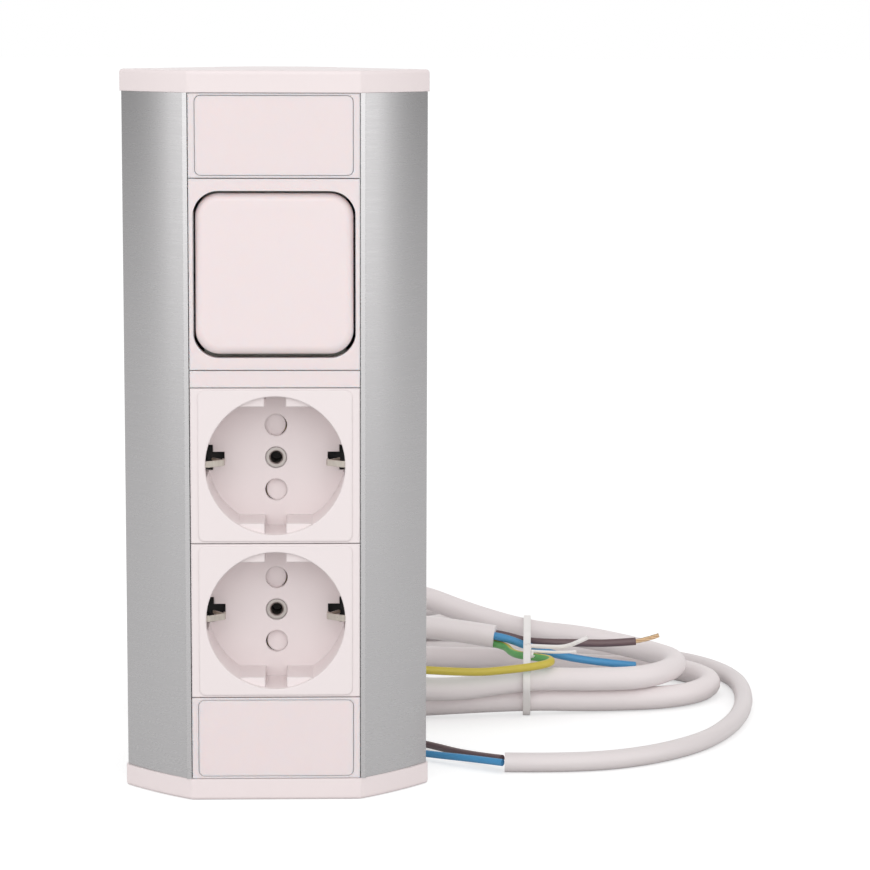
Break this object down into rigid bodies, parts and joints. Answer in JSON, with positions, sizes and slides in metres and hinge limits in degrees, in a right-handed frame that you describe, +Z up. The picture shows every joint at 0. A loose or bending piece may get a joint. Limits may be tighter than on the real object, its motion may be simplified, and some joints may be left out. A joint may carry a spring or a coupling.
{
  "type": "furniture socket",
  "caption": "Corner furniture socket: aluminium profile with end caps, earthed plug sockets, a rocker light switch, and a supply lead and lamp lead with stripped ends.",
  "frame": {"origin": "on the surface that the unit stands on, under the middle of the housing's depth and width", "axes": "+X to the right seen from the front, +Y into the corner behind the unit, +Z up along the profile"},
  "size_m": [0.2059, 0.2466, 0.21],
  "materials": {
    "anodised_aluminium": "satin anodised, fine grain",
    "cap_plastic": "soft gloss white",
    "white_plastic": "soft gloss white",
    "inner_plastic": "matt off-white",
    "base_thermoset": "matt near-black",
    "zinc_steel": "zinc plated",
    "spring_steel": "bright wire",
    "nickel_spring": "bright nickel",
    "contact_brass": "satin",
    "grommet_rubber": "matt grey",
    "supply_sheath": "satin pale grey",
    "lamp_sheath": "satin white",
    "brown_insulation": "satin dark brown",
    "blue_insulation": "satin blue",
    "green_yellow_insulation": "satin green with yellow stripe",
    "bare_copper": "twisted strands",
    "tie_plastic": "satin white"
  },
  "bodies": {
    "housing": {"aluminium_profile": "anodised_aluminium", "bottom_cap": "cap_plastic", "top_cap": "cap_plastic", "cap_screws": "zinc_steel", "bottom_blank_frame": "white_plastic", "top_blank_frame": "white_plastic", "bottom_blank_plate": "white_plastic", "top_blank_plate": "white_plastic", "spacer_bar": "white_plastic", "centre_screws": "zinc_steel", "terminal_screws": "zinc_steel", "switch_frame": "white_plastic", "rocker_carrier": "inner_plastic", "switch_base": "inner_plastic", "switch_contacts": "contact_brass", "switch_terminal_screws": "zinc_steel", "supply_grommet": "grommet_rubber", "lamp_grommet": "grommet_rubber", "clamp_left_half": "inner_plastic", "clamp_right_half": "inner_plastic", "clamp_screw": "zinc_steel", "live_wires": "brown_insulation", "neutral_wires": "blue_insulation", "earth_wires": "green_yellow_insulation", "lamp_wires": "brown_insulation", "supply_lead_run": "supply_sheath", "supply_hank": "supply_sheath", "supply_lead_end": "supply_sheath", "lamp_lead_run": "lamp_sheath", "lamp_hank": "lamp_sheath", "lamp_lead_tail": "lamp_sheath", "supply_core_brown": "brown_insulation", "supply_core_blue": "blue_insulation", "supply_core_green_yellow": "green_yellow_insulation", "supply_copper_tip": "bare_copper", "lamp_core_brown": "brown_insulation", "lamp_core_blue": "blue_insulation", "twist_tie": "tie_plastic", "lower_socket_face": "white_plastic", "lower_earth_bracket": "nickel_spring", "lower_socket_base": "base_thermoset", "lower_centre_eyelet": "nickel_spring", "lower_shutter_spring": "spring_steel", "lower_live_contact": "contact_brass", "lower_neutral_contact": "contact_brass", "upper_socket_face": "white_plastic", "upper_earth_bracket": "nickel_spring", "upper_socket_base": "base_thermoset", "upper_centre_eyelet": "nickel_spring", "upper_shutter_spring": "spring_steel", "upper_live_contact": "contact_brass", "upper_neutral_contact": "contact_brass"},
    "rocker": {"switch_rocker": "white_plastic", "rocker_plunger": "inner_plastic", "plunger_spring": "spring_steel"},
    "contact_lever": {"contact_lever": "contact_brass"},
    "lower_shutter": {"lower_shutter": "white_plastic"},
    "upper_shutter": {"upper_shutter": "white_plastic"}
  },
  "joints": [
    {"name": "rocker_tilt", "type": "hinge", "parent": "housing", "child": "rocker", "pos_m": [0, -0.021, 0.1525], "axis": [1, 0, 0], "range_deg": [0, 6]},
    {"name": "contact_lever_tilt", "type": "hinge", "parent": "housing", "child": "contact_lever", "pos_m": [0, -0.0093, 0.1525], "axis": [1, 0, 0], "range_deg": [-14, 0]},
    {"name": "lower_shutter_turn", "type": "hinge", "parent": "housing", "child": "lower_shutter", "pos_m": [0, -0.0072, 0.05275], "axis": [0, -1, 0], "range_deg": [0, 40], "stiffness_Nm_per_rad": 0.005},
    {"name": "upper_shutter_turn", "type": "hinge", "parent": "housing", "child": "upper_shutter", "pos_m": [0, -0.0072, 0.09775], "axis": [0, -1, 0], "range_deg": [0, 40], "stiffness_Nm_per_rad": 0.005}
  ],
  "couplings": [
    {"joint": "contact_lever_tilt", "follows": "rocker_tilt", "ratio": -2.3332}
  ]
}
